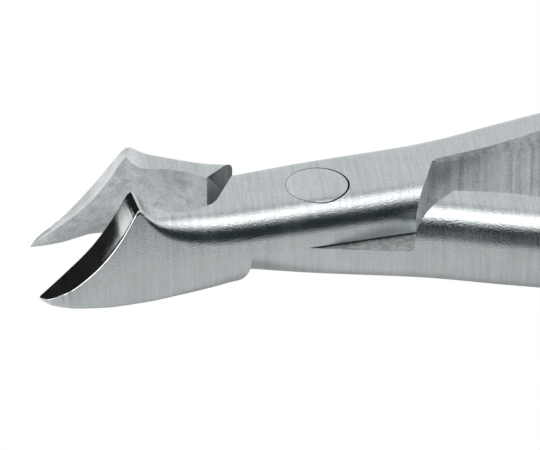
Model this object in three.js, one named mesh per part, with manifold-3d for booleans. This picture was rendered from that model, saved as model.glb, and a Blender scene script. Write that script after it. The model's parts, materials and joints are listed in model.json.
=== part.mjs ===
// Sprue nippers: two forged halves that cross in a lap joint, a pivot pin, and a pair of leaf
// springs with their screws. Millimetres, +Z up. The origin is on the pivot axis at the underside,
// the jaws point toward -X and the handles toward +X, with the nippers resting open.

import * as THREE from 'three';
import { mergeVertices } from 'three/addons/utils/BufferGeometryUtils.js';
import Module from 'manifold-3d';

const wasm = await Module();
wasm.setup();

// ---------------------------------------------------------------- driving dimensions

const THICKNESS = 9.4;                  // underside to the flat top of the joint
const REST_ANGLE = 9.1 * Math.PI / 180; // turn of each half from its closed position
const JAW_TIP = 31.9;                   // station of the jaw tip
const HEEL = 21.3;                      // station of the crest where the cutting edge begins
const HANDLE_END = -98;                 // station of the handle's end
const LAP_PLANE = 4.8;                  // height where the two laps meet
const LAP_GAP = 0.15;                   // between the two laps
const PIN_RADIUS = 3.6;
const PIN_GAP = 0.15;

// Each half is drawn along its own length. A station is the distance ahead of the pivot, toward
// the jaw tip, so the handles lie at negative stations. A reach is the distance from the plane
// where the jaws close, toward the side that the half's own jaw is on. Tables are
// [station, value] pairs, joined by smooth curves.
const JAW_WALL = [                      // reach of the outer wall, low down
  [JAW_TIP, 0.35], [31.2, 1.9], [30.3, 2.75], [28.8, 3.55], [27.2, 4.0], [24, 4.6],
  [20.4, 4.7], [17, 4.95], [13.3, 5.3], [9, 5.5], [-20, 5.5],
];
const JAW_RIM = [                       // reach of the outer wall at its top
  [JAW_TIP, 0.12], [29, 2.43], [26, 4.2], [23.5, 4.5], [HEEL, 4.1], [18, 4.75],
  [15, 5.15], [9, 5.5], [-20, 5.5],
];
const RIM_HEIGHT = [                    // height of that rim along the front bevel
  [JAW_TIP, 0.1], [29, 2.1], [26, 5.3], [23.5, 8.7], [22, 11.0], [HEEL, 12.1],
];
const EDGE_HEIGHT = [                   // height of the cutting edge, from tip to heel
  [JAW_TIP, 0.15], [29, 2.67], [26, 5.53], [23.5, 8.84], [22, 11.37], [HEEL, 12.22],
];
const TOP_HEIGHT = [                    // height of the top behind the heel
  [HEEL, 12.22], [20.5, 11.3], [19.7, 10.6], [18.9, 10.2], [17, 9.75], [15, 9.55], [12, THICKNESS],
  [-60, THICKNESS], [HANDLE_END, 8.4],
];
const INNER_EDGE = [                    // reach of the jaw's inner top edge
  [JAW_TIP, 0.04], [HEEL, 0.04], [18.3, 1.34], [17, 1.85], [15, 1.73], [12.3, 0.7],
];
const INNER_FOOT = [                    // reach of the jaw's inner face at the underside
  [JAW_TIP, 0.15], [30.3, 0.6], [28.7, 1.3], [27, 2.4], [25.5, 3.3], [23.5, 3.6], [HEEL, 3.55],
  [17, 2.9], [15, 2.2], [13.5, 1.25],
];
const BACK = [                          // reach of the side away from the jaw, on to the handle
  [14, -4.9], [8.6, -5.1], [0, -5.65], [-11, -5.9], [-16, -6.35], [-21, -7.2], [-27.7, -8.4],
  [-40, -11], [-55, -13.2], [-70, -14.3], [-85, -14], [HANDLE_END, -12.6],
];
const HANDLE_INSIDE = {                 // reach of each handle's inner face
  upper: [[-12, -1.3], [-16.3, -1.6], [-21.8, -2.25], [-26.8, -3.35], [-40, -6], [-55, -8],
    [-70, -8.9], [-85, -8.8], [HANDLE_END, -8]],
  lower: [[-12, -0.2], [-15.3, -0.3], [-20.3, -0.45], [-24.8, -1.16], [-40, -5.2], [-55, -7.8],
    [-70, -8.9], [-85, -8.8], [HANDLE_END, -8]],
};

// Corner radii along the half.
const JAW_TOP_RADIUS = [
  [JAW_TIP, 0], [HEEL, 0], [20.5, 0.25], [18, 1.2], [14, 2.1], [9, 2.5], [1.5, 3], [-8, 3.3],
  [-14, 3.3],
];
const JAW_BOTTOM_RADIUS = [
  [JAW_TIP, 0.05], [30.3, 0.25], [27.2, 0.5], [24, 0.7], [21, 0.8], [17, 1.8], [13, 3], [-14, 3],
];
const BACK_TOP_RADIUS = [[14, 1], [-8, 1], [-16, 2.2], [-24, 3.2], [HANDLE_END, 3.2]];
const HANDLE_INSIDE_RADIUS = [[-14, 0.1], [-27, 1], [-60, 1.6], [HANDLE_END, 1.6]];
const UNDERSIDE_RADIUS = 3;
const HOLLOW_GRIND = 0.18;              // depth of the hollow across the front bevel

// Plan outlines where a half stops and the other takes over, as [station, reach].
const JAW_STEP = 13.5;                  // station where the jaw narrows to one side
const HANDLE_STEP = -14;                // station where the handle narrows to one side
const STEP_RUN = 0.3;                   // length of each of those steps
const TRIM = 0.08;                      // depth that the cuts there take off the faces beyond
const LAP_END_JAW = [[7.2, -6.6], [8.64, -4.45], [11.6, 0.07], [13.8, 1.52]];
const LAP_END_HANDLE = [[-9.2, 6.5], [-9.84, 5.5], [-11.7, 2.6], [-13.7, -1.34]];
const SHOULDER_JAW = [[7.6, 7.5], [9.1, 5.5], [10.37, 3.76], [12.2, 1.18], [13.8, 1.6]];
const SHOULDER_HANDLE = [[-9.9, -7.3], [-12.5, -4], [-13.75, -2.4], [-15.96, 0.6]];

// Leaf springs and their screws.
const LEAF_THICKNESS = 0.8;
const LEAF_WIDTH = 5.6;
const LEAF_CLEARANCE = 0.3;
const LEAF_TAIL = -71;                  // station of the leaf's fixed end
const SCREW_STATION = -66;
const LEAF_BOW = [[-53, -5.9], [-45.5, -1.2], [-39.5, 4.0], [-37.5, 6.0], [-36.6, 6.9]];
const TONGUE_WIDTH = 2.2;
const FORK_WIDTH = 3.2;
const FORK_START = -39.2;               // station where the tongue and the fork begin
const SCREW = { head: 2.3, headHeight: 1.3, shank: 1.2, length: 3.6, slot: 0.6, slotDepth: 0.6 };
const SCREW_CLEARANCE = 0.3;

const ARC_STEPS = 4;                    // segments in each rounded corner
const ROUND_SEGMENTS = 40;              // segments round the pin and its hole

// ---------------------------------------------------------------- curves and solids

// A smooth curve through a table that never overshoots its points.
function through(table) {
  const points = [...table].sort((a, b) => a[0] - b[0]);
  const slope = points.slice(1).map((p, i) => (p[1] - points[i][1]) / (p[0] - points[i][0]));
  const tangent = points.map((_, i) => {
    if (i === 0) return slope[0];
    if (i === points.length - 1) return slope[i - 1];
    const product = slope[i - 1] * slope[i];
    return product <= 0 ? 0 : 2 * product / (slope[i - 1] + slope[i]);
  });
  return station => {
    if (station <= points[0][0]) return points[0][1];
    if (station >= points[points.length - 1][0]) return points[points.length - 1][1];
    const i = points.findIndex(p => p[0] > station) - 1;
    const run = points[i + 1][0] - points[i][0];
    const t = (station - points[i][0]) / run;
    const start = points[i][1] * (1 + 2 * t) + run * t * tangent[i];
    const end = points[i + 1][1] * (3 - 2 * t) - run * (1 - t) * tangent[i + 1];
    return (1 - t) ** 2 * start + t ** 2 * end;
  };
}

// The corner of a section, rounded by an arc that is tangent to both of its sides.
function roundedCorner(before, corner, after, radius) {
  const a = before.clone().sub(corner).normalize();
  const b = after.clone().sub(corner).normalize();
  const half = Math.acos(THREE.MathUtils.clamp(a.dot(b), -1, 1)) / 2;
  const centre = a.clone().add(b).normalize().multiplyScalar(radius / Math.sin(half)).add(corner);
  const from = corner.clone().addScaledVector(a, radius / Math.tan(half)).sub(centre);
  const turn = (from.x * (corner.y - centre.y) - from.y * (corner.x - centre.x) < 0 ? -1 : 1)
    * (Math.PI - 2 * half);
  return Array.from({ length: ARC_STEPS + 1 }, (_, i) => {
    const angle = turn * i / ARC_STEPS;
    return from.clone().rotateAround(new THREE.Vector2(), angle).add(centre);
  });
}

// A solid from equal rings of points, each ring a closed section, with flat ends.
function loft(rings, mirrored) {
  const count = rings[0].length;
  const faces = [];
  for (let r = 0; r < rings.length - 1; r++) {
    for (let i = 0; i < count; i++) {
      const a = r * count + i, b = r * count + (i + 1) % count;
      faces.push([a, b, b + count], [a, b + count, a + count]);
    }
  }
  const last = (rings.length - 1) * count;
  for (let i = 0; i < count - 2; i++) {
    faces.push([count - 1, i + 1, i], [last + count - 1, last + i, last + i + 1]);
  }
  const geometry = new THREE.BufferGeometry();
  geometry.setAttribute('position', new THREE.Float32BufferAttribute(
    rings.flat().flatMap(p => p.toArray()), 3));
  geometry.setIndex(faces.flatMap(([a, b, c]) => mirrored ? [a, c, b] : [a, b, c]));
  return toSolid(geometry);
}

// A closed geometry as a solid, with its shared corners merged.
function toSolid(geometry) {
  const bare = geometry.clone();
  bare.deleteAttribute('normal');
  bare.deleteAttribute('uv');
  const merged = mergeVertices(bare, 1e-4);
  const source = merged.index.array;
  const kept = [];
  for (let i = 0; i < source.length; i += 3) {
    const [a, b, c] = source.slice(i, i + 3);
    if (a !== b && b !== c && a !== c) kept.push(a, b, c);
  }
  return new wasm.Manifold(new wasm.Mesh({
    numProp: 3,
    vertProperties: new Float32Array(merged.attributes.position.array),
    triVerts: new Uint32Array(kept),
  }));
}

function toGeometry(solid) {
  const mesh = solid.getMesh();
  const geometry = new THREE.BufferGeometry();
  geometry.setAttribute('position', new THREE.BufferAttribute(mesh.vertProperties, 3));
  geometry.setIndex(new THREE.BufferAttribute(mesh.triVerts, 1));
  geometry.computeVertexNormals();
  return geometry;
}

// An upright prism over a plan outline of [station, reach] points.
function prism(outline, bottom, top, side) {
  const shape = new THREE.Shape(outline.map(([station, reach]) => plan(station, reach, side)));
  const geometry = new THREE.ExtrudeGeometry(shape, { depth: top - bottom, bevelEnabled: false });
  geometry.translate(0, 0, bottom);
  return toSolid(geometry);
}

// A round bar about the pivot axis.
function bar(radius, bottom, top) {
  const geometry = new THREE.CylinderGeometry(radius, radius, top - bottom, ROUND_SEGMENTS);
  geometry.rotateX(Math.PI / 2);
  geometry.translate(0, 0, (bottom + top) / 2);
  return toSolid(geometry);
}

// A place on a half's plan: side is -1 for the half with the jaw toward -Y, +1 for the other.
function plan(station, reach, side) {
  return new THREE.Vector2(-station, side * reach);
}

// ---------------------------------------------------------------- the two halves

const SIDE = { upper: -1, lower: 1 };
const END_ROUND = 3;                    // length over which a handle's end is rounded off

const jawWall = through(JAW_WALL);
const jawRim = through(JAW_RIM);
const rimHeight = through(RIM_HEIGHT);
const edgeHeight = through(EDGE_HEIGHT);
const topHeight = through(TOP_HEIGHT);
const innerEdge = through(INNER_EDGE);
const innerFoot = through(INNER_FOOT);
const back = through(BACK);
const handleInside = { upper: through(HANDLE_INSIDE.upper), lower: through(HANDLE_INSIDE.lower) };
const jawTopRadius = through(JAW_TOP_RADIUS);
const jawBottomRadius = through(JAW_BOTTOM_RADIUS);
const backTopRadius = through(BACK_TOP_RADIUS);
const handleInsideRadius = through(HANDLE_INSIDE_RADIUS);

// The sections of a half: its jaw, the lap across the pivot, and its handle. Each returns the
// corners as [reach, height, radius]: top left, top middle, top right, bottom right, bottom left.
function jawCorners(station) {
  const bevel = station > HEEL;
  const top = topHeight(station);
  const left = [innerEdge(station), bevel ? edgeHeight(station) : top, 0];
  const right = [jawRim(station), bevel ? rimHeight(station) : top, jawTopRadius(station)];
  const middle = [(left[0] + right[0]) / 2, (left[1] + right[1]) / 2, 0];
  if (bevel) middle[1] -= HOLLOW_GRIND * Math.min(1, (station - HEEL) / 2, (JAW_TIP - station) / 4);
  return [left, middle, right, [jawWall(station), 0, jawBottomRadius(station)],
    [innerFoot(station), 0, 0]];
}

function lapCorners(station) {
  const top = topHeight(station);
  return [[back(station), top, backTopRadius(station)], [0, top, 0],
    [jawRim(station), top, jawTopRadius(station)],
    [jawWall(station), 0, jawBottomRadius(station)], [back(station), 0, UNDERSIDE_RADIUS]];
}

function handleCorners(station, name) {
  const top = topHeight(station);
  const inside = handleInside[name](station);
  const radius = handleInsideRadius(station);
  return [[back(station), top, backTopRadius(station)], [(inside + back(station)) / 2, top, 0],
    [inside, top, radius], [inside, 0, radius], [back(station), 0, UNDERSIDE_RADIUS]];
}

function ring(station, corners, side) {
  const points = corners.map(([reach, height]) => new THREE.Vector2(reach, height));
  const outline = points.flatMap((corner, i) => {
    if (i === 1) return [corner];
    const before = points[(i + points.length - 1) % points.length];
    return roundedCorner(before, corner, points[(i + 1) % points.length], corners[i][2]);
  });
  const past = Math.max(0, HANDLE_END + END_ROUND - station) / (END_ROUND * 1.02);
  const centre = points[0].clone().add(points[3]).multiplyScalar(0.5);
  const shrink = Math.sqrt(1 - past * past);
  return outline.map(p => {
    const q = p.sub(centre).multiplyScalar(shrink).add(centre);
    return new THREE.Vector3(-station, side * q.x, q.y);
  });
}

const JAW_STATIONS = [JAW_TIP, 31.2, 30.3, 29, 27.5, 26, 24.5, 23.2, 22.2, HEEL, 20.9, 20.4, 19.7,
  18.9, 18, 17, 15.8, 14.6, JAW_STEP];
const LAP_STATIONS = [JAW_STEP - STEP_RUN, 11.2, 8.9, 4.5, 0.1, -4.5, -8.7, HANDLE_STEP];
const HANDLE_STATIONS = [HANDLE_STEP - STEP_RUN, -16.2, -18.5, -21, -24, -27.5, -31, -35, -40, -45, -50,
  -55, -60, -65, -70, -75, -80, -85, -90, -95, -96.4, -97.4, -97.85, HANDLE_END];

// A half before the other half's room is cut out of it.
function blank(name) {
  const side = SIDE[name];
  return loft([
    ...JAW_STATIONS.map(s => ring(s, jawCorners(s), side)),
    ...LAP_STATIONS.map(s => ring(s, lapCorners(s), side)),
    ...HANDLE_STATIONS.map(s => ring(s, handleCorners(s, name), side)),
  ], side > 0);
}

// The lap's end on the handle's side runs straight until it meets the handle's inner face.
function handleLapEnd(name) {
  const inside = handleInside[name](HANDLE_STEP) - TRIM;
  const [far, near] = LAP_END_HANDLE.slice(-2);
  const share = (far[1] - inside) / (far[1] - near[1]);
  const meeting = [far[0] + share * (near[0] - far[0]), inside];
  return [...LAP_END_HANDLE.slice(0, -1), meeting, [HANDLE_STEP - STEP_RUN, inside],
    [HANDLE_STEP - STEP_RUN, OUTSIDE], [LAP_END_HANDLE[0][0], OUTSIDE]];
}

const OUTSIDE = 8;                      // reach past both sides of the joint
const jawLapEnd = [...LAP_END_JAW, [LAP_END_JAW.at(-1)[0], -OUTSIDE], [LAP_END_JAW[0][0], -OUTSIDE]];
const recess = [...SHOULDER_JAW, [SHOULDER_JAW.at(-1)[0], -OUTSIDE], ...SHOULDER_HANDLE,
  [SHOULDER_HANDLE.at(-1)[0], OUTSIDE]];

function half(name, body) {
  const side = SIDE[name];
  const above = 2 * THICKNESS;
  const [from, to] = name === 'upper' ? [-1, LAP_PLANE] : [LAP_PLANE - LAP_GAP, above];
  return body
    .subtract(prism(jawLapEnd, -1, above, side))
    .subtract(prism(handleLapEnd(name), -1, above, side))
    .subtract(prism(recess, from, to, side))
    .subtract(bar(PIN_RADIUS + PIN_GAP, -1, above))
    .subtract(screwHole(name, SCREW.length));
}

// The pivot pin is ground flush with both laps, so it takes their rounded edges.
function pivotPin(upperBlank, lowerBlank) {
  const turned = lowerBlank.rotate([0, 0, -2 * REST_ANGLE * 180 / Math.PI]);
  const head = bar(PIN_RADIUS, LAP_PLANE, 2 * THICKNESS).intersect(upperBlank);
  return bar(PIN_RADIUS, -1, LAP_PLANE).intersect(turned).add(head);
}

// ---------------------------------------------------------------- leaf springs and screws

// The leaf lies along the handle's inner face at its screw, then bows over to the middle.
function leafSpring(name) {
  const side = SIDE[name];
  const inside = handleInside[name];
  const lift = LEAF_CLEARANCE + LEAF_THICKNESS / 2;
  const seat = [LEAF_TAIL, SCREW_STATION, -61].map(s => [s, inside(s) + lift]);
  const curve = new THREE.SplineCurve([...seat, ...LEAF_BOW].map(p => new THREE.Vector2(...p)));
  const steps = 36;
  const edge = offset => Array.from({ length: steps + 1 }, (_, i) => {
    const p = curve.getPoint(i / steps);
    const t = curve.getTangent(i / steps);
    return [p.x - t.y * offset, p.y + t.x * offset];
  });
  const outline = [...edge(LEAF_THICKNESS / 2), ...edge(-LEAF_THICKNESS / 2).reverse()];
  const middle = THICKNESS / 2;
  const leaf = prism(outline, middle - LEAF_WIDTH / 2, middle + LEAF_WIDTH / 2, side)
    .subtract(screwHole(name, SCREW.length));
  const tip = LEAF_BOW.at(-1);
  const end = [[FORK_START, 0], [tip[0] + 1, 0], [tip[0] + 1, tip[1] + 1], [FORK_START, tip[1] + 1]];
  if (name === 'lower') {
    return leaf.subtract(prism(end, middle - FORK_WIDTH / 2, middle + FORK_WIDTH / 2, side));
  }
  return leaf
    .subtract(prism(end, middle - LEAF_WIDTH, middle - TONGUE_WIDTH / 2, side))
    .subtract(prism(end, middle + TONGUE_WIDTH / 2, middle + LEAF_WIDTH, side));
}

// Turns a shape made about +Y, with its seat at y = 0, into place on the handle's inner face.
function atScrew(geometry, name) {
  const side = SIDE[name];
  const inside = handleInside[name];
  const rise = (inside(SCREW_STATION + 1) - inside(SCREW_STATION - 1)) / 2;
  const place = plan(SCREW_STATION, inside(SCREW_STATION), side);
  const normal = plan(-rise, 1, side).normalize();
  geometry.rotateZ(Math.atan2(-normal.x, normal.y));
  geometry.translate(place.x, place.y, THICKNESS / 2);
  return toSolid(geometry);
}

function screwHole(name, depth) {
  const radius = SCREW.shank + SCREW_CLEARANCE;
  const length = depth + SCREW_CLEARANCE + 2;
  const geometry = new THREE.CylinderGeometry(radius, radius, length, 16);
  geometry.translate(0, 2 - length / 2, 0);
  return atScrew(geometry, name);
}

function screw(name) {
  const seat = 2 * LEAF_CLEARANCE + LEAF_THICKNESS;
  const { head, headHeight, shank, length, slot, slotDepth } = SCREW;
  const profile = [[0, -length], [shank, -length], [shank, seat], [head, seat],
    [head, seat + headHeight * 0.6], [head * 0.75, seat + headHeight], [0, seat + headHeight]];
  const body = new THREE.LatheGeometry(profile.map(p => new THREE.Vector2(...p)), 24);
  const groove = new THREE.BoxGeometry(slot, 2 * slotDepth, 3 * head);
  groove.rotateY(0.5);
  groove.translate(0, seat + headHeight, 0);
  return atScrew(body, name).subtract(atScrew(groove, name));
}

// ---------------------------------------------------------------- assembly

const FINISH = {
  forging: { color: 0xb8bbbd, roughness: 0.36, metalness: 1 },
  pin: { color: 0xbcbfc0, roughness: 0.32, metalness: 1 },
  leaf: { color: 0xc2c5c8, roughness: 0.24, metalness: 1 },
  screw: { color: 0xb0b2b4, roughness: 0.3, metalness: 1 },
};

function piece(name, solid, finish) {
  const mesh = new THREE.Mesh(toGeometry(solid), new THREE.MeshStandardMaterial(FINISH[finish]));
  mesh.name = name;
  return mesh;
}

const blanks = { upper: blank('upper'), lower: blank('lower') };
const nippers = new THREE.Group();

for (const name of ['upper', 'lower']) {
  const place = name === 'upper' ? 'rear' : 'front';
  const group = new THREE.Group();
  group.rotation.z = -SIDE[name] * REST_ANGLE;
  group.add(piece(`${name}_half`, half(name, blanks[name]), 'forging'));
  group.add(piece(`${place}_leaf_spring`, leafSpring(name), 'leaf'));
  group.add(piece(`${place}_spring_screw`, screw(name), 'screw'));
  if (name === 'upper') group.add(piece('pivot_pin', pivotPin(blanks.upper, blanks.lower), 'pin'));
  nippers.add(group);
}

export default nippers;
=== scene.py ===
"""Sprue nippers: the finished look of the two forged halves, the pivot pin, the leaf springs and
their screws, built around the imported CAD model. Lengths are in millimetres until a mesh is made."""

import json
import math

import bmesh
import bpy
import numpy as np
from mathutils import Matrix, Vector


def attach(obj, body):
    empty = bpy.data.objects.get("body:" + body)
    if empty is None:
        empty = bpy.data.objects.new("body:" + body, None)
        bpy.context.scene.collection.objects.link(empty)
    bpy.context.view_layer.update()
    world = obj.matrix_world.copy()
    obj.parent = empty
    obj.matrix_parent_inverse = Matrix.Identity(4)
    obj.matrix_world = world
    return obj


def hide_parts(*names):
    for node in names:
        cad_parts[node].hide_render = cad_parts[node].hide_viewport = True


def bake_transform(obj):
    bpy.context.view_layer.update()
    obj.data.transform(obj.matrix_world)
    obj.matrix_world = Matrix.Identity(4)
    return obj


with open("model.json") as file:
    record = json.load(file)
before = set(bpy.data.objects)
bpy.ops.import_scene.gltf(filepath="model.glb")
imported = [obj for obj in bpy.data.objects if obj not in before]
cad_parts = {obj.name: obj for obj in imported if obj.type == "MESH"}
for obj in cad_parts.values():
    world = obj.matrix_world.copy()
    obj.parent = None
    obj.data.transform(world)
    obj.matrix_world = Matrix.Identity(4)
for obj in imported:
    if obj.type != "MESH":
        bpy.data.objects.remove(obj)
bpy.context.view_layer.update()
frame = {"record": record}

MM = 0.001
THICKNESS = 9.4                    # underside to the flat top of the joint
REST_ANGLE = math.radians(9.1)     # turn of each half from its closed position
JAW_TIP = 31.9                     # station of the jaw tip
HEEL = 21.3                        # station of the crest where the cutting edge begins
HANDLE_END = -98                   # station of the handle's end
LAP_PLANE = 4.8                    # height where the two laps meet
LAP_GAP = 0.15                     # between the two laps
UPPER_LAP_LIFT = 0.12              # a little more daylight under the upper lap
PIN_RADIUS = 3.46
PIN_GAP = 0.13
PIN_SHIFT = (-0.085, 0.01)         # the pin sits a little to one side of its hole
PIN_OVERLAP = 0.5                  # height over which the pin's two cut ends overlap
PIN_SIDE_RISE = 0.1                # the pin's faces whose normals rise less are its sides
BELOW, ABOVE = -1, 2 * THICKNESS   # heights clear of the whole part

# Spacing of the sections along a half.
JAW_SPACING, CREST_SPACING, LAP_SPACING = 0.2, 0.08, 0.8
HANDLE_SPACING, FAR_HANDLE_SPACING = 0.6, 1.2
CREST_ZONE = 0.8                   # half length of the closely spaced stretch at the crest
FAR_HANDLE = -30                   # station where the handle's sections grow sparser
ARC_STEPS = 12
BEVEL_STEPS = 10
END_STEPS = 12
FILLET_STEPS = 8

UNDERSIDE_RADIUS = 3
HOLLOW_GRIND = 0.12                # depth of the hollow across the front bevel
HOLLOW_RISE, HOLLOW_FADE = 2, 4    # lengths over which it begins at the heel and ends at the tip
TIP_STRETCH = {"upper": 0, "lower": 0.38}     # extra length of the jaw's tip
STRETCH_FROM = 25                  # station where that extra length begins
CREST_ROUND = {"upper": 0.6, "lower": 0.35}   # half length of the crest's rounding
CREST_SLOPE = 1.35                 # about the slope of the top on both sides of the crest
END_ROUND = 3                      # length over which a handle's end is rounded off
END_BLUNTNESS = 1.005              # leaves a small flat, so that the last section isn't a point

# Plan outlines where a half stops and the other takes over, as (station, reach).
JAW_STEP = 12.35                   # station where the jaw narrows to one side
HANDLE_STEP = -14                  # station where the handle narrows to one side
STEP_RUN = 0.2                     # length of each of those steps
TRIM = 0.02                        # depth that the cut takes off the handle's inner face
LAP_END_JAW = [(7.2, -6.6), (8.64, -4.45), (11.6, 0.07), (12.37, 0.75)]
LAP_END_HANDLE = [(-9.2, 6.5), (-9.84, 5.5), (-11.7, 2.6), (-13.7, -1.34)]
SHOULDER_JAW = [(7.6, 7.5), (9.1, 5.5), (10.37, 3.76), (12.3, 1.03), (12.37, 0.76)]
SHOULDER_HANDLE = [(-9.9, -7.3), (-12.5, -4), (-13.75, -2.4), (-15.96, 0.6)]
OUTSIDE = 8                        # reach past both sides of the joint
SHOULDER_FILLET = 0.8

LEAF_THICKNESS = 0.8
LEAF_WIDTH = 5.6
LEAF_CLEARANCE = 0.3
LEAF_TAIL = -71                    # station of the leaf's fixed end
LEAF_SEAT_END = -61                # station where the leaf leaves the handle
LEAF_BOW = [(-53, -5.9), (-45.5, -1.2), (-39.5, 4.0), (-37.5, 6.0), (-36.6, 6.9)]
LEAF_STEPS = 14                    # segments between two points of its path
LEAF_EDGE = 0.12                   # width of its broken edges
TONGUE_WIDTH = 2.2
FORK_WIDTH = 3.2
FORK_START = -39.2                 # station where the tongue and the fork begin
PAST_TIP = 1                       # how far the cuts there run on past the tip

SCREW_STATION = -66
SCREW_HEAD, SCREW_HEAD_HEIGHT = 2.3, 1.3
SCREW_RIM = 0.45                   # share of the head's height below its dome
SCREW_SHANK, SCREW_LENGTH = 1.2, 3.6
SCREW_SLOT, SCREW_SLOT_DEPTH = 0.6, 0.6
SCREW_SLOT_REACH, SCREW_SLOT_ABOVE = 4, 1     # half length of the slot's cutter, and its top
SCREW_SLOT_TILT = 0.5              # radians from upright
SCREW_DOME_STEPS = 8
SCREW_CLEARANCE = 0.3
SCREW_HOLE_ABOVE = 2               # how far the screw's hole runs on above its seat

FORGING_CREASE, SMALL_CREASE = 28, 30         # degrees from which an edge stays sharp
SOFTENED_CREASE = 35                          # degrees from which an edge is softened
MERGED, DEGENERATE, LEVEL = 2e-6, 1e-7, 1e-7  # tolerances in a mesh, in metres

SIDE = {"upper": -1, "lower": 1}              # the sign of Y on the side of the half's own jaw
HANDLE_PLACE = {"upper": "rear", "lower": "front"}   # where the half's handle lies


# ------------------------------------------------------------------ curves along a half

def through(table):
    """A smooth curve through a table that never overshoots its points."""
    points = sorted(table)
    xs = np.array([p[0] for p in points], float)
    ys = np.array([p[1] for p in points], float)
    slope = np.diff(ys) / np.diff(xs)
    tangent = np.zeros(len(xs))
    tangent[0] = slope[0]
    tangent[-1] = slope[-1]
    for i in range(1, len(xs) - 1):
        product = slope[i - 1] * slope[i]
        tangent[i] = 0 if product <= 0 else 2 * product / (slope[i - 1] + slope[i])

    def value(station):
        s = min(max(station, xs[0]), xs[-1])
        i = min(int(np.searchsorted(xs, s, side="right")) - 1, len(xs) - 2)
        run = xs[i + 1] - xs[i]
        t = (s - xs[i]) / run
        start = ys[i] * (1 + 2 * t) + run * t * tangent[i]
        end = ys[i + 1] * (3 - 2 * t) - run * (1 - t) * tangent[i + 1]
        return float((1 - t) ** 2 * start + t ** 2 * end)

    return value


def per_half(**tables):
    return {name: through(table) for name, table in tables.items()}


# A station is the distance ahead of the pivot, toward the jaw tip. A reach is the distance from
# the plane where the jaws close, toward the side that the half's own jaw is on. Each table holds
# (station, value) points.

# Reach of the outer wall at the underside.
jaw_wall = through([
    (JAW_TIP, 0.35), (31.2, 1.9), (30.3, 2.75), (28.8, 3.55), (27.2, 4.0), (24, 4.6), (20.4, 4.7),
    (17, 4.95), (13.3, 5.3), (9, 5.5), (-20, 5.5)])
# How far the wall stands in from that: the rear jaw's neck is slimmer.
wall_inset = per_half(
    upper=[(JAW_TIP, 0), (-14, 0)],
    lower=[(JAW_TIP, 0), (18, 0), (12, 0.8), (9, 0.9), (-14, 0)])
# How far the wall leans inward for each millimetre of height.
jaw_lean = through([
    (JAW_TIP, 0.7), (30.3, 0.5), (29, 0.26), (27.5, 0.1), (26, 0.03), (23.5, 0.02), (HEEL, 0.045),
    (18, 0.02), (15, 0.012), (9, 0), (-20, 0)])
# Height of the wall's top along the front jaw's bevel, and of the cutting edge.
rim_height = through([
    (JAW_TIP, 0.1), (29, 2.1), (26, 5.3), (23.5, 8.7), (22, 11.15), (HEEL, 12.38)])
edge_height = through([
    (JAW_TIP, 0.15), (29, 2.67), (26, 5.53), (23.5, 8.84), (22, 11.37), (HEEL, 12.45)])
# Height of the rear jaw's top at its outer side, where the crest is ground down.
rear_rim = through([
    (JAW_TIP, 0.1), (29, 2.05), (26, 5.25), (23.5, 8.6), (22.4, 10.2), (22, 10.75), (21.6, 11.1),
    (21.2, 11.2), (20.7, 11.0), (20, 10.6), (19, 10.2), (17, 9.75), (15, 9.55), (12, THICKNESS),
    (-14, THICKNESS)])
# Height of the top behind the heel.
top_height = through([
    (HEEL, 12.45), (20.5, 11.3), (19.7, 10.6), (18.9, 10.2), (17, 9.75), (15, 9.55),
    (12, THICKNESS), (-60, THICKNESS), (HANDLE_END, 8.4)])
# Reach of the jaw's inner face, at its top edge and at the underside.
inner_edge = through([
    (JAW_TIP, 0.04), (HEEL, 0.04), (18.3, 1.34), (17, 1.85), (15, 1.73), (12.3, 0.7)])
inner_foot = through([
    (JAW_TIP, 0.15), (30.3, 0.6), (28.7, 1.3), (27, 2.4), (25.5, 3.3), (23.5, 3.6), (HEEL, 3.55),
    (17, 2.9), (15, 2.2), (13.5, 1.3), (12.35, 0.74)])
# Reach of the side away from the jaw, on to the handle, and how each half differs from it.
back = through([
    (14, -4.9), (8.6, -5.1), (0, -5.65), (-11, -5.9), (-16, -6.35), (-21, -7.2), (-27.7, -8.4),
    (-40, -11), (-55, -13.2), (-70, -14.3), (-85, -14), (HANDLE_END, -12.6)])
back_shift = per_half(
    upper=[(14, 0), (-12, 0), (-27.7, -0.35), (-45, 0), (HANDLE_END, 0)],
    lower=[(14, 0), (-16, 0), (-27.7, 0.6), (-45, 0), (HANDLE_END, 0)])
# Reach of each handle's inner face.
handle_inside = per_half(
    upper=[(-12, -1.3), (-16.3, -1.6), (-21.8, -2.1), (-26.8, -2.95), (-40, -6), (-55, -8),
           (-70, -8.9), (-85, -8.8), (HANDLE_END, -8)],
    lower=[(-12, -0.2), (-15.3, -0.3), (-20.3, -0.45), (-24.8, -1.16), (-40, -5.2), (-55, -7.8),
           (-70, -8.9), (-85, -8.8), (HANDLE_END, -8)])
# Radius of the rounding between the wall and the top.
jaw_top_radius = per_half(
    upper=[(JAW_TIP, 0.03), (30, 0.2), (23, 0.3), (21.6, 0.35), (HEEL, 0.5), (20.7, 1.0),
           (19.5, 1.5), (17.5, 2.2), (15, 2.7), (9, 2.9), (1.5, 3), (-14, 3.2)],
    lower=[(JAW_TIP, 0.03), (30, 0.2), (23, 0.3), (HEEL, 0.5), (18, 0.6), (14, 1), (9, 1.2),
           (-14, 1.2)])
# Degrees that rounding turns through before it ends in an arris. At 90 it meets the top smoothly.
jaw_top_sweep = per_half(
    upper=[(JAW_TIP, 90), (21.5, 90), (21.2, 75), (20.7, 58), (19.8, 60), (18.6, 80), (17.8, 90),
           (-14, 90)],
    lower=[(JAW_TIP, 90), (-14, 90)])
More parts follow.
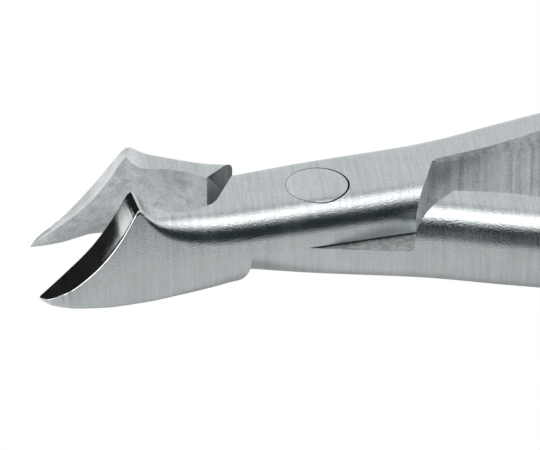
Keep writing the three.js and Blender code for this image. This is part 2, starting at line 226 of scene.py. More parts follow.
# Radius at the wall's foot, radius of the back's top corner, and the handle's inner chamfer.
jaw_bottom_radius = through([
    (JAW_TIP, 0.05), (30.3, 0.25), (27.2, 0.5), (24, 0.7), (21, 0.8), (17, 1.8), (13, 3.2),
    (10, 4.2), (-14, 4.2)])
back_top_radius = per_half(
    upper=[(14, 1), (-8, 1), (-27, 1.1), (-45, 3.2), (HANDLE_END, 3.2)],
    lower=[(14, 1), (-4, 1), (-9, 3.4), (HANDLE_END, 3.2)])
handle_chamfer = per_half(
    upper=[(-14, 0.3), (-20, 0.7), (-27, 1.3), (-40, 1.6), (HANDLE_END, 1.6)],
    lower=[(-14, 0.1), (-27, 0.15), (-40, 0.8), (-60, 1.2), (HANDLE_END, 1.2)])


# ------------------------------------------------------------------ corners and meshes

def rounded_corner(before, corner, after, radius):
    """Points of the arc that rounds a section's corner."""
    a = (before - corner).normalized()
    b = (after - corner).normalized()
    half = math.acos(max(-1, min(1, a.dot(b)))) / 2
    centre = corner + (a + b).normalized() * (radius / math.sin(half))
    start = corner + a * (radius / math.tan(half)) - centre
    toward = corner - centre
    sweep = math.pi - 2 * half
    if start.x * toward.y - start.y * toward.x < 0:
        sweep = -sweep
    return [centre + Matrix.Rotation(sweep * i / ARC_STEPS, 2) @ start
            for i in range(ARC_STEPS + 1)]


def arris_corner(rim, high, radius, sweep):
    """A rounding from an upright wall that stops in an arris at the top."""
    centre = Vector((rim - radius, high - radius * math.sin(sweep)))
    angles = [sweep * (1 - i / ARC_STEPS) for i in range(ARC_STEPS + 1)]
    return [centre + radius * Vector((math.cos(a), math.sin(a))) for a in angles]


def chamfered_corner(before, corner, after, width):
    """A straight cut across a corner, with as many points as an arc has."""
    start = corner + (before - corner).normalized() * width
    end = corner + (after - corner).normalized() * width
    return [start.lerp(end, i / ARC_STEPS) for i in range(ARC_STEPS + 1)]


def make_object(name, vertices, faces):
    mesh = bpy.data.meshes.new(name)
    mesh.from_pydata([tuple(c * MM for c in v) for v in vertices], [], faces)
    mesh.update()
    obj = bpy.data.objects.new(name, mesh)
    bpy.context.scene.collection.objects.link(obj)
    work = bmesh.new()
    work.from_mesh(mesh)
    bmesh.ops.remove_doubles(work, verts=work.verts, dist=MERGED)
    bmesh.ops.dissolve_degenerate(work, edges=work.edges, dist=DEGENERATE)
    bmesh.ops.recalc_face_normals(work, faces=work.faces)
    work.to_mesh(mesh)
    work.free()
    return obj


def loft(name, rings):
    """A closed body from equal rings of points."""
    count = len(rings[0])
    faces = []
    for r in range(len(rings) - 1):
        for i in range(count):
            a = r * count + i
            b = r * count + (i + 1) % count
            faces.append((a, b, b + count, a + count))
    faces.append(tuple(range(count)))
    faces.append(tuple((len(rings) - 1) * count + i for i in range(count)))
    return make_object(name, [p for ring in rings for p in ring], faces)


def upright(name, outline, bottom, top):
    """An upright body over a plan outline of (x, y) points."""
    count = len(outline)
    vertices = [(x, y, z) for z in (bottom, top) for x, y in outline]
    faces = [tuple(range(count)), tuple(range(count, 2 * count))]
    faces += [(i, (i + 1) % count, count + (i + 1) % count, count + i) for i in range(count)]
    return make_object(name, vertices, faces)


def prism(name, outline, bottom, top, side, fillet=0):
    """An upright body over (station, reach) points. A fillet rounds its top edge, or its bottom
    edge if the fillet is negative."""
    obj = upright(name, [(-station, side * reach) for station, reach in outline], bottom, top)
    if fillet:
        height = (top if fillet > 0 else bottom) * MM
        work = bmesh.new()
        work.from_mesh(obj.data)
        rim = [e for e in work.edges if all(abs(v.co.z - height) < LEVEL for v in e.verts)]
        bmesh.ops.bevel(work, geom=rim, offset=abs(fillet) * MM, segments=FILLET_STEPS,
                        profile=0.5, affect="EDGES", clamp_overlap=True)
        work.to_mesh(obj.data)
        work.free()
    return obj


def round_bar(name, radius, bottom, top, segments=128):
    angles = [2 * math.pi * i / segments for i in range(segments)]
    return upright(name, [(radius * math.cos(a), radius * math.sin(a)) for a in angles], bottom, top)


def lathe(name, profile, place, axis, segments=48):
    """A turned piece from (radius, height) points along an axis."""
    vertices = []
    faces = []
    count = len(profile)
    for i in range(segments):
        angle = 2 * math.pi * i / segments
        vertices += [(r * math.cos(angle), r * math.sin(angle), h) for r, h in profile]
        for j in range(count - 1):
            a = i * count + j
            b = (i + 1) % segments * count + j
            faces.append((a, b, b + 1, a + 1))
    obj = make_object(name, vertices, faces)
    obj.data.transform(Matrix.Translation(place * MM)
                       @ axis.to_track_quat("Z", "Y").to_matrix().to_4x4())
    return obj


def boolean(obj, other, operation):
    """Cuts, joins or crosses obj with other, and removes other."""
    modifier = obj.modifiers.new(operation, "BOOLEAN")
    modifier.operation = operation
    modifier.object = other
    modifier.solver = "MANIFOLD"
    apply_modifiers(obj)
    bpy.data.objects.remove(other)


def apply_modifiers(obj):
    evaluated = obj.evaluated_get(bpy.context.evaluated_depsgraph_get())
    mesh = bpy.data.meshes.new_from_object(evaluated)
    obj.modifiers.clear()
    obj.data = mesh


def turn(obj, angle):
    """Turns a mesh about the pivot axis."""
    obj.data.transform(Matrix.Rotation(angle, 4, "Z"))


def smooth(obj, crease):
    """Smooth shading with creases kept sharp."""
    for polygon in obj.data.polygons:
        polygon.use_smooth = True
    obj.data.set_sharp_from_angle(angle=math.radians(crease))


def soften(obj, width):
    """Breaks sharp edges with a narrow bevel."""
    bevel = obj.modifiers.new("soften", "BEVEL")
    bevel.width = width * MM
    bevel.segments = 2
    bevel.limit_method = "ANGLE"
    bevel.angle_limit = math.radians(SOFTENED_CREASE)
    bevel.harden_normals = True
    apply_modifiers(obj)


def paint(obj, *materials):
    obj.data.materials.clear()
    for material in materials:
        obj.data.materials.append(material)


# ------------------------------------------------------------------ the two halves

def crest_drop(station, name):
    """How far the crest is rounded off below the meeting of its two slopes."""
    run = CREST_ROUND[name]
    return CREST_SLOPE * max(0, run - abs(station - HEEL)) ** 2 / (2 * run)


def hollow_grind(station):
    """Depth of the hollow across the bevel, which is none behind the heel."""
    share = min(1, (station - HEEL) / HOLLOW_RISE, (JAW_TIP - station) / HOLLOW_FADE)
    return HOLLOW_GRIND * max(0, share)


def bevel_run(left, right, hollow):
    """Points across the top of a section, sunk by a shallow hollow between its two edges."""
    run = []
    for i in range(1, BEVEL_STEPS):
        t = i / BEVEL_STEPS
        point = left.lerp(right, t)
        point.y -= 4 * hollow * t * (1 - t)
        run.append(point)
    return run


def section(station, kind, name):
    """Corners of a half's section as (reach, height, size of the rounding or chamfer): top left,
    top right, low right and low left."""
    drop = crest_drop(station, name)
    top = top_height(station) - drop
    bevel = kind == "jaw" and station > HEEL
    edge = edge_height(station) - drop if bevel else top
    high = rim_height(station) - drop if bevel else top
    if name == "lower":
        high = rear_rim(station)
    wall = jaw_wall(station) - wall_inset[name](station)
    rim = wall - jaw_lean(station) * high
    jaw_side = [(rim, high, jaw_top_radius[name](station)), (wall, 0, jaw_bottom_radius(station))]
    outside = back(station) + back_shift[name](station)
    back_top = (outside, top, back_top_radius[name](station))
    back_low = (outside, 0, UNDERSIDE_RADIUS)
    if kind == "jaw":
        return [(inner_edge(station), edge, 0), *jaw_side, (inner_foot(station), 0, 0)]
    if kind == "lap":
        return [back_top, *jaw_side, back_low]
    inside = handle_inside[name](station)
    width = handle_chamfer[name](station)
    return [back_top, (inside, top, width), (inside, 0, width), back_low]


def ring(station, kind, name):
    """A closed ring of points round a half at a station."""
    corners = section(station, kind, name)
    points = [Vector(corner[:2]) for corner in corners]
    arcs = []
    for i, (_, _, size) in enumerate(corners):
        ease = chamfered_corner if kind == "handle" and i in (1, 2) else rounded_corner
        arcs.append(ease(points[i - 1], points[i], points[(i + 1) % 4], size))
    sweep = jaw_top_sweep[name](station)
    if kind == "jaw" and sweep < 90:
        arcs[1] = arris_corner(*corners[1], math.radians(sweep))
    across = bevel_run(arcs[0][-1], arcs[1][0], hollow_grind(station))
    outline = arcs[0] + across + arcs[1] + arcs[2] + arcs[3]
    past = max(0, HANDLE_END + END_ROUND - station) / (END_ROUND * END_BLUNTNESS)
    shrink = math.sqrt(1 - past * past)
    centre = (points[0] + points[2]) / 2
    outline = [centre + (p - centre) * shrink for p in outline]
    stretch = TIP_STRETCH[name] * max(0, station - STRETCH_FROM) / (JAW_TIP - STRETCH_FROM)
    return [(-station - stretch, SIDE[name] * p.x, p.y) for p in outline]


def spread(start, end, step):
    """Even stations from start up to, but without, end."""
    count = max(1, round(abs(end - start) / step))
    return [start + (end - start) * i / count for i in range(count)]


def blank(name):
    """A half before the other half's room is cut out of it."""
    jaw = (spread(JAW_TIP, HEEL + CREST_ZONE, JAW_SPACING)
           + spread(HEEL + CREST_ZONE, HEEL - CREST_ZONE, CREST_SPACING)
           + spread(HEEL - CREST_ZONE, JAW_STEP, JAW_SPACING) + [JAW_STEP])
    lap = spread(JAW_STEP - STEP_RUN, HANDLE_STEP, LAP_SPACING) + [HANDLE_STEP]
    last = HANDLE_END + END_ROUND
    handle = (spread(HANDLE_STEP - STEP_RUN, FAR_HANDLE, HANDLE_SPACING)
              + spread(FAR_HANDLE, last, FAR_HANDLE_SPACING)
              + [last - END_ROUND * math.sin(math.pi / 2 * i / END_STEPS)
                 for i in range(END_STEPS + 1)])
    rings = [ring(station, kind, name)
             for kind, stations in (("jaw", jaw), ("lap", lap), ("handle", handle))
             for station in stations]
    return loft(name + "_blank", rings)


def handle_lap_end(name):
    """The lap's end on the handle's side runs straight until it meets the handle's inner face."""
    inside = handle_inside[name](HANDLE_STEP) - TRIM
    far, near = LAP_END_HANDLE[-2:]
    share = (far[1] - inside) / (far[1] - near[1])
    meeting = (far[0] + share * (near[0] - far[0]), inside)
    beyond = HANDLE_STEP - STEP_RUN
    return LAP_END_HANDLE[:-1] + [meeting, (beyond, inside), (beyond, OUTSIDE),
                                  (LAP_END_HANDLE[0][0], OUTSIDE)]


def cut_half(name, body):
    """Cuts the other half's room, the lap's ends and the holes out of a blank."""
    side = SIDE[name]
    jaw_end = LAP_END_JAW + [(LAP_END_JAW[-1][0], -OUTSIDE), (LAP_END_JAW[0][0], -OUTSIDE)]
    recess = (SHOULDER_JAW + [(SHOULDER_JAW[-1][0], -OUTSIDE)] + SHOULDER_HANDLE
              + [(SHOULDER_HANDLE[-1][0], OUTSIDE)])
    if name == "upper":
        room = prism("recess", recess, BELOW, LAP_PLANE + UPPER_LAP_LIFT, side, SHOULDER_FILLET)
    else:
        room = prism("recess", recess, LAP_PLANE - LAP_GAP, ABOVE, side, -SHOULDER_FILLET)
    boolean(body, room, "DIFFERENCE")
    boolean(body, prism("jaw_end", jaw_end, BELOW, ABOVE, side), "DIFFERENCE")
    boolean(body, prism("handle_end", handle_lap_end(name), BELOW, ABOVE, side), "DIFFERENCE")
    boolean(body, round_bar("pin_hole", PIN_RADIUS + PIN_GAP, BELOW, ABOVE), "DIFFERENCE")
    boolean(body, screw_hole(name, SCREW_LENGTH + SCREW_CLEARANCE), "DIFFERENCE")


# Limits that sort a half's faces by finish and painted shade: margins in millimetres, and parts of a
# unit normal.
HOLE_MARGIN, HOLE_RISE = 0.02, 0.5
MATING_MARGIN, MATING_RISE = 0.1, 0.9
HANDLE_MARGIN, HANDLE_INWARD = 0.5, 0.6
LAP_END_MARGIN, LAP_END_RISE, LAP_END_ALONG = 2.5, 0.3, 0.55
JAW_INWARD, JAW_RISE = 0.7, 0.25
BEVEL_AHEAD, BEVEL_RISE = 0.4, 0.3


def finish_or_painted_shade_of(name, polygon):
    """The finish or painted shade of a face, as a key of the table of finishes and painted shades,
    before the half is turned to rest.
    """
    x, y, z = polygon.center / MM
    normal = polygon.normal
    rise = abs(normal.z)
    along = abs(normal.x)
    toward_jaw = SIDE[name] * normal.y
    above_plane = z - LAP_PLANE
    # The pin hole's wall gets near-black painted shade for the gap round the pin.
    if math.hypot(x, y) < PIN_RADIUS + PIN_GAP + HOLE_MARGIN and rise < HOLE_RISE:
        return "painted_gap_shade"
    if (-LAP_GAP - MATING_MARGIN < above_plane < UPPER_LAP_LIFT + MATING_MARGIN
            and rise > MATING_RISE):
        return "blasted"
    # The handles' inner faces get cross grinding with a darker painted shade.
    if x > -HANDLE_STEP - HANDLE_MARGIN and toward_jaw > HANDLE_INWARD:
        return "cross_ground_with_painted_shade"
    # Faces across the lap's ends: dark painted shade on the jaw's shoulders that face the handle, and
    # cross grinding with a darker painted shade on the rest.
    if abs(x) < JAW_STEP + LAP_END_MARGIN and rise < LAP_END_RISE and along > LAP_END_ALONG:
        return "painted_shade" if normal.x > 0 and x < 0 else "cross_ground_with_painted_shade"
    if x < -JAW_STEP and toward_jaw < -JAW_INWARD and normal.z < JAW_RISE:
        return "jaw_inside"
    if x < -HEEL and normal.x < -BEVEL_AHEAD and normal.z > BEVEL_RISE:
        return "honed" if name == "upper" else "worn_bevel"
    return "ground"


def forged_half(name):
    body = blank(name)
    cut_half(name, body)
    body.name = name + "_forging"
    smooth(body, FORGING_CREASE)
    paint(body, *FINISHES_AND_PAINTED_SHADE.values())
    finish_and_shade_keys = list(FINISHES_AND_PAINTED_SHADE)
    for polygon in body.data.polygons:
        polygon.material_index = finish_and_shade_keys.index(finish_or_painted_shade_of(name, polygon))
    turn(body, -SIDE[name] * REST_ANGLE)
    return body


def pivot_pin():
    """The pin is ground flush with both laps, so it takes their rounded edges."""
    ends = {"upper": round_bar("pin_head", PIN_RADIUS, LAP_PLANE - PIN_OVERLAP, ABOVE),
            "lower": round_bar("pin_foot", PIN_RADIUS, BELOW, LAP_PLANE)}
    for name, end in ends.items():
        half = blank(name)
        turn(half, -SIDE[name] * REST_ANGLE)
        boolean(end, half, "INTERSECT")
    pin = ends["upper"]
    boolean(pin, ends["lower"], "UNION")
    pin.name = "flush_pin"
    pin.data.transform(Matrix.Translation(Vector((*PIN_SHIFT, 0)) * MM))
    smooth(pin, FORGING_CREASE)
    # The pin's sides get the near-black painted gap shade, and its ends the ground steel.
    paint(pin, pin_steel, painted_gap_shade)
    for polygon in pin.data.polygons:
        polygon.material_index = 1 if abs(polygon.normal.z) < PIN_SIDE_RISE else 0
    return pin


# ------------------------------------------------------------------ springs and screws

def screw_frame(name):
    """Place and inward normal of a spring screw on the handle's inner face, in the half's frame."""
    side = SIDE[name]
    inside = handle_inside[name]
    rise = (inside(SCREW_STATION + 1) - inside(SCREW_STATION - 1)) / 2
    place = Vector((-SCREW_STATION, side * inside(SCREW_STATION), THICKNESS / 2))
    return place, Vector((rise, side, 0)).normalized()


def screw_hole(name, depth):
    radius = SCREW_SHANK + SCREW_CLEARANCE
    profile = [(0, -depth), (radius, -depth), (radius, SCREW_HOLE_ABOVE), (0, SCREW_HOLE_ABOVE)]
    return lathe("hole", profile, *screw_frame(name))


def spline(points, steps):
    """A Catmull-Rom curve through plan points."""
    line = [Vector(p) for p in points]
    ends = [2 * line[0] - line[1]] + line + [2 * line[-1] - line[-2]]
    curve = []
    for i in range(1, len(ends) - 2):
        a, b, c, d = ends[i - 1:i + 3]
        for k in range(steps):
            t = k / steps
            curve.append(0.5 * (2 * b + (c - a) * t + (2 * a - 5 * b + 4 * c - d) * t * t
                                + (3 * b - a - 3 * c + d) * t ** 3))
    return curve + [ends[-2]]


def offset_line(line, distance):
    result = []
    for i, point in enumerate(line):
        along = (line[min(i + 1, len(line) - 1)] - line[max(i - 1, 0)]).normalized()
        result.append((point.x - along.y * distance, point.y + along.x * distance))
    return result


def leaf_spring(name):
    """A leaf lies along the handle's inner face at its screw, then bows over to the middle."""
    side = SIDE[name]
    lift = LEAF_CLEARANCE + LEAF_THICKNESS / 2
    seat = [(s, handle_inside[name](s) + lift) for s in (LEAF_TAIL, SCREW_STATION, LEAF_SEAT_END)]
    path = spline(seat + LEAF_BOW, LEAF_STEPS)
    outline = offset_line(path, LEAF_THICKNESS / 2) + offset_line(path, -LEAF_THICKNESS / 2)[::-1]
    middle = THICKNESS / 2
    leaf = prism("leaf", outline, middle - LEAF_WIDTH / 2, middle + LEAF_WIDTH / 2, side)
    boolean(leaf, screw_hole(name, SCREW_LENGTH), "DIFFERENCE")
    station, reach = LEAF_BOW[-1]
    end = [(FORK_START, 0), (station + PAST_TIP, 0), (station + PAST_TIP, reach + PAST_TIP),
           (FORK_START, reach + PAST_TIP)]
    fork = [(-FORK_WIDTH / 2, FORK_WIDTH / 2)]
    tongue = [(-LEAF_WIDTH, -TONGUE_WIDTH / 2), (TONGUE_WIDTH / 2, LEAF_WIDTH)]
    for low, high in (fork if name == "lower" else tongue):
        boolean(leaf, prism("end_cut", end, middle + low, middle + high, side), "DIFFERENCE")
    smooth(leaf, SMALL_CREASE)
    soften(leaf, LEAF_EDGE)
    turn(leaf, -side * REST_ANGLE)
    paint(leaf, leaf_steel)
    leaf.name = name + "_spring_leaf"
    return leaf


def blend_leaf(leaf, name):
    """Bakes the leaf's placement into its mesh. The place of its screw at rest is worked out but not
    used.
    """
    to_rest = Matrix.Rotation(-SIDE[name] * REST_ANGLE, 3, "Z")
    fixed = to_rest @ screw_frame(name)[0] * MM
    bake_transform(leaf)


def slot_cutter(place, axis, crown):
    """The box that cuts a screw's slot across its crown."""
    up = Vector((0, 0, 1))
    across = axis.cross(up)
    tilt = (up * math.cos(SCREW_SLOT_TILT) + across * math.sin(SCREW_SLOT_TILT)).normalized()
    width = axis.cross(tilt)
    corners = [place + axis * (crown + h) + tilt * t + width * w
               for h in (-SCREW_SLOT_DEPTH, SCREW_SLOT_ABOVE)
               for t in (-SCREW_SLOT_REACH, SCREW_SLOT_REACH)
               for w in (-SCREW_SLOT / 2, SCREW_SLOT / 2)]
    faces = [(0, 1, 3, 2), (4, 5, 7, 6), (0, 1, 5, 4), (2, 3, 7, 6), (0, 2, 6, 4), (1, 3, 7, 5)]
    return make_object("slot", corners, faces)


def spring_screw(name):
    seat = 2 * LEAF_CLEARANCE + LEAF_THICKNESS
    crown = seat + SCREW_HEAD_HEIGHT
    place, axis = screw_frame(name)
    dome = []
    for i in range(SCREW_DOME_STEPS):
        angle = math.pi / 2 * i / SCREW_DOME_STEPS
        share = SCREW_RIM + (1 - SCREW_RIM) * math.sin(angle)
        dome.append((SCREW_HEAD * math.cos(angle), seat + SCREW_HEAD_HEIGHT * share))
    profile = [(0, -SCREW_LENGTH), (SCREW_SHANK, -SCREW_LENGTH), (SCREW_SHANK, seat),
               (SCREW_HEAD, seat), *dome, (0, crown)]
    body = lathe("screw", profile, place, axis)
    boolean(body, slot_cutter(place, axis, crown), "DIFFERENCE")
    smooth(body, SMALL_CREASE)
    turn(body, -SIDE[name] * REST_ANGLE)
    paint(body, screw_steel)
    body.name = name + "_slotted_screw"
    return body


# ------------------------------------------------------------------ nodes

COLOUR_A, COLOUR_B, COLOUR_RESULT = 6, 7, 2   # a Mix node's sockets when it mixes colours
WHITE = (1, 1, 1, 1)


def feed(tree, socket, value):
    """Links an input to an output, or sets it to a plain value."""
    if isinstance(value, bpy.types.NodeSocket):
        tree.links.new(value, socket)
    else:
        socket.default_value = value


def node(tree, kind, **values):
    """A new node. Each value goes to the input of that name, or to the node's own setting."""
    made = tree.nodes.new(kind)
    for key, value in values.items():
        if key in made.inputs:
            feed(tree, made.inputs[key], value)
        else:
            setattr(made, key, value)
    return made


def noise(tree, vector, scale, detail, roughness=0.6):
    return node(tree, "ShaderNodeTexNoise", Vector=vector, Scale=scale, Detail=detail,
                Roughness=roughness).outputs["Fac"]


def calculate(tree, operation, *values):
    made = node(tree, "ShaderNodeMath", operation=operation)
    for socket, value in zip(made.inputs, values):
        feed(tree, socket, value)
    return made.outputs[0]


def weigh(tree, value, weight, rest=0.0):
    """value times weight, plus rest."""
    return calculate(tree, "MULTIPLY_ADD", value, weight, rest)


def map_range(tree, value, low, high, first, last):
    made = node(tree, "ShaderNodeMapRange", Value=value)
    for key, number in zip(("From Min", "From Max", "To Min", "To Max"), (low, high, first, last)):
        made.inputs[key].default_value = number
    return made.outputs["Result"]


def mix_colour(tree, factor, first, second, blend_type="MIX"):
    made = node(tree, "ShaderNodeMix", data_type="RGBA", blend_type=blend_type)
    feed(tree, made.inputs[0], factor)
    feed(tree, made.inputs[COLOUR_A], first)
    feed(tree, made.inputs[COLOUR_B], second)
    return made.outputs[COLOUR_RESULT]


def colour_ramp(tree, factor, stops):
    """A ramp through (position, colour) stops."""
    made = node(tree, "ShaderNodeValToRGB")
    elements = made.color_ramp.elements
    while len(elements) < len(stops):
        elements.new(0.5)
    for element, (position, colour) in zip(elements, stops):
        element.position = position
        element.color = (*colour, 1)
    feed(tree, made.inputs[0], factor)
    return made.outputs[0]


def white_to_camera(tree, lit, white_kind, output_kind):
    """The camera sees plain white, and every other ray sees the lit shader."""
    seen = node(tree, "ShaderNodeMixShader")
    white = node(tree, white_kind, Color=WHITE, Strength=1.0)
    feed(tree, seen.inputs[0], node(tree, "ShaderNodeLightPath").outputs["Is Camera Ray"])
    feed(tree, seen.inputs[1], lit)
    feed(tree, seen.inputs[2], white.outputs[0])
    feed(tree, node(tree, output_kind).inputs[0], seen.outputs[0])


# ------------------------------------------------------------------ materials

CLOUD_SCALE, SPECK_SCALE = 330.0, 5500.0      # the grinding lines take theirs from the grain
LINE_SHARE, CLOUD_SHARE, SPECK_SHARE = 0.4, 0.25, 0.35   # in the colour
COLOUR_SPAN = (0.38, 0.62)         # noise between which the colour goes from dark to light
ROUGH_SPAN = (0.3, 0.7)            # noise between which the roughness changes
ROUGH_LESS, ROUGH_MORE = 0.05, 0.07
LINE_RELIEF = 0.6
BUMP_HEIGHT = 0.02


def steel(name, colour, rough, grain, relief, speckle=0.5, contrast=0.15):
    """Satin steel with a grinding grain, clouds and fine specks. The grain is the noise scale
    along X, Y and Z, so its lines run along the axis with the lowest number. The relief is the
    bump's strength, speckle the specks' part in it, and contrast the colour's change either way."""
    material = bpy.data.materials.new(name)
    material.use_nodes = True
    tree = material.node_tree
    shader = tree.nodes["Principled BSDF"]
    shader.inputs["Metallic"].default_value = 1.0
    place = node(tree, "ShaderNodeTexCoord").outputs["Object"]
    stretch = node(tree, "ShaderNodeMapping", vector_type="POINT", Vector=place, Scale=grain)
    lines = noise(tree, stretch.outputs["Vector"], 1.0, 3.0)
    clouds = noise(tree, place, CLOUD_SCALE, 4.0)
    specks = noise(tree, place, SPECK_SCALE, 2.0, 0.7)

    dark = (*[c * (1 - contrast) for c in colour], 1)
    light = (*[min(1, c * (1 + contrast)) for c in colour], 1)
    blend = weigh(tree, lines, LINE_SHARE,
                  weigh(tree, clouds, CLOUD_SHARE, weigh(tree, specks, SPECK_SHARE)))
    shade = mix_colour(tree, map_range(tree, blend, *COLOUR_SPAN, 0.0, 1.0), dark, light)
    feed(tree, shader.inputs["Base Color"], shade)
    feed(tree, shader.inputs["Roughness"],
         map_range(tree, clouds, *ROUGH_SPAN, rough - ROUGH_LESS, rough + ROUGH_MORE))

    height = weigh(tree, specks, speckle, weigh(tree, lines, LINE_RELIEF))
    bump = node(tree, "ShaderNodeBump", Strength=relief, Distance=BUMP_HEIGHT * MM, Height=height)
    feed(tree, shader.inputs["Normal"], bump.outputs["Normal"])
    return material


SATIN = (0.61, 0.64, 0.65)
# Near-black painted shade for the gap between the pin and its hole, on the hole's wall and on the
# pin's sides.
painted_gap_shade = steel("painted_gap_shade_steel", (0.01, 0.01, 0.01), 0.7, (900, 900, 900), 0.2)
FINISHES_AND_PAINTED_SHADE = {
    "ground": steel("ground_forging", SATIN, 0.19, (2600, 110, 110), 0.9, 2.4, 0.12),
    # Cross grinding, and a colour darker than the ground steel as painted shade on the lap's ends and
    # the handles' inner faces.
    "cross_ground_with_painted_shade": steel("cross_ground_with_painted_shade", (0.45, 0.47, 0.48), 0.26, (1500, 1500, 40), 0.6, 0.4, 0.35),
    "blasted": steel("blasted_mating_face", (0.62, 0.64, 0.645), 0.45, (1500, 1500, 1500), 1.0, 5.0,
                     0.35),
    "painted_gap_shade": painted_gap_shade,
    # Dark painted shade on the jaw's shoulder faces that face the handle, where the halves step past
    # each other.
    "painted_shade": steel("painted_shoulder_shade", (0.17, 0.18, 0.185), 0.3, (1500, 1500, 60), 0.5, 0.3, 0.4),
    "jaw_inside": steel("jaw_inside", (0.59, 0.62, 0.63), 0.26, (700, 700, 700), 0.8, 3.0, 0.28),
    "honed": steel("honed_bevel", (0.64, 0.66, 0.67), 0.09, (500, 500, 500), 0.1, 2.0, 0.15),
    "worn_bevel": steel("worn_bevel", (0.6, 0.63, 0.64), 0.3, (700, 700, 700), 0.35, 1.0, 0.2),
}
pin_steel = steel("ground_pin", SATIN, 0.19, (1500, 120, 500), 0.6, 1.6)
leaf_steel = steel("spring_leaf", (0.42, 0.43, 0.44), 0.22, (200, 1500, 1500), 0.35)
screw_steel = steel("turned_screw", (0.6, 0.61, 0.62), 0.18, (900, 900, 900), 0.3)


# ------------------------------------------------------------------ the pieces and their bodies

BODY_OF = {part: body for body, parts in frame["record"]["behaviour"]["bodies"].items()
           for part in parts}


def stand_for(node_name):
    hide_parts(node_name)


def ride_for(obj, node_name):
    """The piece takes a CAD node's place and moves with that node's body."""
    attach(obj, BODY_OF[node_name])
    stand_for(node_name)


for half, place in HANDLE_PLACE.items():
    ride_for(forged_half(half), half + "_half")
    ride_for(spring_screw(half), place + "_spring_screw")
    leaf = leaf_spring(half)
    blend_leaf(leaf, half)
    stand_for(place + "_leaf_spring")
ride_for(pivot_pin(), "pivot_pin")


# ------------------------------------------------------------------ studio

# Brightness of the surroundings as the steel mirrors them, by share of the half turn from the
# front horizon, over the top, to the back horizon.
STUDIO_BANDS = [(0.0, 0.03), (0.24, 0.02), (0.31, 0.1), (0.36, 0.5), (0.41, 1.3), (0.58, 1.5),
                (0.64, 0.9), (0.69, 0.5), (0.76, 0.5), (0.8, 0.86), (1.0, 0.87)]
COOL_TINT = (0, 0.012, 0.014)
# Each thing round the object has a direction, and an edge: the two cosines from that direction
# between which it fades in. The low wall also fades out between two heights, and the tall wall
# between two amounts toward the back, all as parts of a unit direction.
FLAG_TOWARD, FLAG_EDGE, FLAG_DARKNESS = (-0.676, 0.676, 0.292), (0.84, 0.88), 0.02
WALL_COLOUR = (0.66, 0.67, 0.675, 1)
LOW_WALL_TOWARD, LOW_WALL_EDGE, LOW_WALL_TOP = (-0.95, -0.3, 0), (0.66, 0.76), (0.18, 0.28)
TALL_WALL_TOWARD, TALL_WALL_EDGE, TALL_WALL_END = (-1, 0, 0), (0.58, 0.7), (0.0, 0.2)
STRIP_TOWARD, STRIP_EDGE, STRIP_COLOUR = (-0.985, -0.05, 0.16), (0.965, 0.985), (3, 3, 3, 1)

FLOOR_SIZE, FLOOR_LEFT, FLOOR_DROP = 340, 120, 0.1   # its left edge, and its depth below Z = 0
FLOOR_IN_STEEL = [(-40, 0.02), (-24, 0.48), (-12, 0.5), (-5, 0.62), (25, 0.8)]   # (y, brightness)
FLOOR_REACH = 50                   # how far from the middle line its brightness may change
FLOOR_GLOW = 0.5

SOFTBOX_POWER, SOFTBOX_SIZE, SOFTBOX_PLACE = 0.5, 300, (-50, -100, 600)

VIEW_AZIMUTH = math.radians(-6.2)
VIEW_ELEVATION = math.radians(32.7)
VIEW_WIDTH = 60                    # width of the picture at the object
VIEW_DISTANCE = 500
NEAR_CLIP = 10
SENSOR = 36
CENTRE_RIGHT, CENTRE_UP = -5.28, -4.47        # picture centre from the middle of the pin's top


def sky_bands(tree, split):
    """Bright and dark bands over the object from front to back, mirrored below the horizon."""
    height = calculate(tree, "ABSOLUTE", split.outputs["Z"])
    forward = calculate(tree, "MULTIPLY", split.outputs["Y"], -1)
    share = calculate(tree, "DIVIDE", calculate(tree, "ARCTAN2", height, forward), math.pi)
    stops = [(position, [value + tint for tint in COOL_TINT]) for position, value in STUDIO_BANDS]
    return colour_ramp(tree, share, stops)


def studio():
    """A dark flag behind and to the left, a pale wall to the left and in front, and a narrow strip
    light between them."""
    scene = bpy.context.scene
    scene.view_settings.view_transform = "Standard"
    scene.world = bpy.data.worlds.new("studio")
    scene.world.use_nodes = True
    tree = scene.world.node_tree
    tree.nodes.clear()
    ray = node(tree, "ShaderNodeTexCoord").outputs["Generated"]
    split = node(tree, "ShaderNodeSeparateXYZ")
    feed(tree, split.inputs[0], ray)

    def facing(direction, edge, first=0.0, last=1.0):
        """A factor that changes with how nearly a ray heads in a direction."""
        dot = node(tree, "ShaderNodeVectorMath", operation="DOT_PRODUCT")
        feed(tree, dot.inputs[0], ray)
        feed(tree, dot.inputs[1], direction)
        return map_range(tree, dot.outputs["Value"], *edge, first, last)

    low_wall = calculate(tree, "MULTIPLY", facing(LOW_WALL_TOWARD, LOW_WALL_EDGE),
                         map_range(tree, split.outputs["Z"], *LOW_WALL_TOP, 1.0, 0.0))
    tall_wall = calculate(tree, "MULTIPLY", facing(TALL_WALL_TOWARD, TALL_WALL_EDGE),
                          map_range(tree, split.outputs["Y"], *TALL_WALL_END, 1.0, 0.0))
    colour = mix_colour(tree, 1.0, sky_bands(tree, split),
                        facing(FLAG_TOWARD, FLAG_EDGE, 1.0, FLAG_DARKNESS), "MULTIPLY")
    colour = mix_colour(tree, calculate(tree, "MAXIMUM", low_wall, tall_wall), colour, WALL_COLOUR)
    colour = mix_colour(tree, facing(STRIP_TOWARD, STRIP_EDGE), colour, STRIP_COLOUR)
    lit = node(tree, "ShaderNodeBackground", Color=colour)
    white_to_camera(tree, lit.outputs[0], "ShaderNodeBackground", "ShaderNodeOutputWorld")


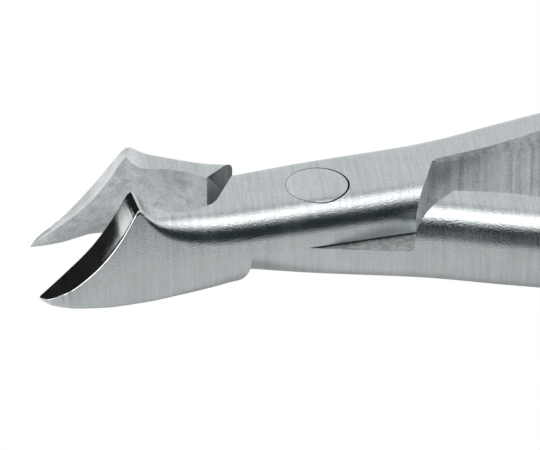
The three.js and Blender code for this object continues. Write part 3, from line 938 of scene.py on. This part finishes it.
def floor_material():
    """Pure white to the camera; in the steel it looks darker toward the front."""
    material = bpy.data.materials.new("pale_floor")
    material.use_nodes = True
    tree = material.node_tree
    tree.nodes.clear()
    split = node(tree, "ShaderNodeSeparateXYZ")
    feed(tree, split.inputs[0], node(tree, "ShaderNodeTexCoord").outputs["Object"])
    reach = FLOOR_REACH * MM
    share = map_range(tree, split.outputs["Y"], -reach, reach, 0, 1)
    stops = [(y / (2 * FLOOR_REACH) + 0.5, (value, value, value)) for y, value in FLOOR_IN_STEEL]
    colour = colour_ramp(tree, share, stops)
    matt = node(tree, "ShaderNodeBsdfDiffuse", Color=colour)
    glow = node(tree, "ShaderNodeEmission", Color=colour, Strength=FLOOR_GLOW)
    lit = node(tree, "ShaderNodeAddShader")
    feed(tree, lit.inputs[0], matt.outputs[0])
    feed(tree, lit.inputs[1], glow.outputs[0])
    white_to_camera(tree, lit.outputs[0], "ShaderNodeEmission", "ShaderNodeOutputMaterial")
    return material


def floor():
    bpy.ops.mesh.primitive_plane_add(size=FLOOR_SIZE * MM)
    plane = bpy.context.object
    plane.name = "floor"
    middle = Vector((FLOOR_SIZE / 2 - FLOOR_LEFT, 0, -FLOOR_DROP)) * MM
    plane.data.transform(Matrix.Translation(middle))
    paint(plane, floor_material())


def key_light():
    data = bpy.data.lights.new("softbox", "AREA")
    data.energy = SOFTBOX_POWER
    data.size = SOFTBOX_SIZE * MM
    light = bpy.data.objects.new("softbox", data)
    light.location = Vector(SOFTBOX_PLACE) * MM
    light.rotation_euler = (-light.location).to_track_quat("-Z", "Y").to_euler()
    bpy.context.scene.collection.objects.link(light)


def camera():
    right = Vector((math.cos(VIEW_AZIMUTH), math.sin(VIEW_AZIMUTH), 0))
    ahead = Vector((-math.sin(VIEW_AZIMUTH), math.cos(VIEW_AZIMUTH), 0))
    up = ahead * math.sin(VIEW_ELEVATION) + Vector((0, 0, math.cos(VIEW_ELEVATION)))
    back_off = -ahead * math.cos(VIEW_ELEVATION) + Vector((0, 0, math.sin(VIEW_ELEVATION)))
    centre = Vector((0, 0, THICKNESS)) + right * CENTRE_RIGHT + up * CENTRE_UP
    data = bpy.data.cameras.new("camera")
    data.sensor_width = SENSOR
    data.lens = SENSOR * VIEW_DISTANCE / VIEW_WIDTH
    data.clip_start = NEAR_CLIP * MM
    obj = bpy.data.objects.new("camera", data)
    obj.location = (centre + back_off * VIEW_DISTANCE) * MM
    obj.rotation_euler = (-back_off).to_track_quat("-Z", "Y").to_euler()
    bpy.context.scene.collection.objects.link(obj)
    bpy.context.scene.camera = obj


studio()
floor()
key_light()
camera()

bpy.context.view_layer.update()
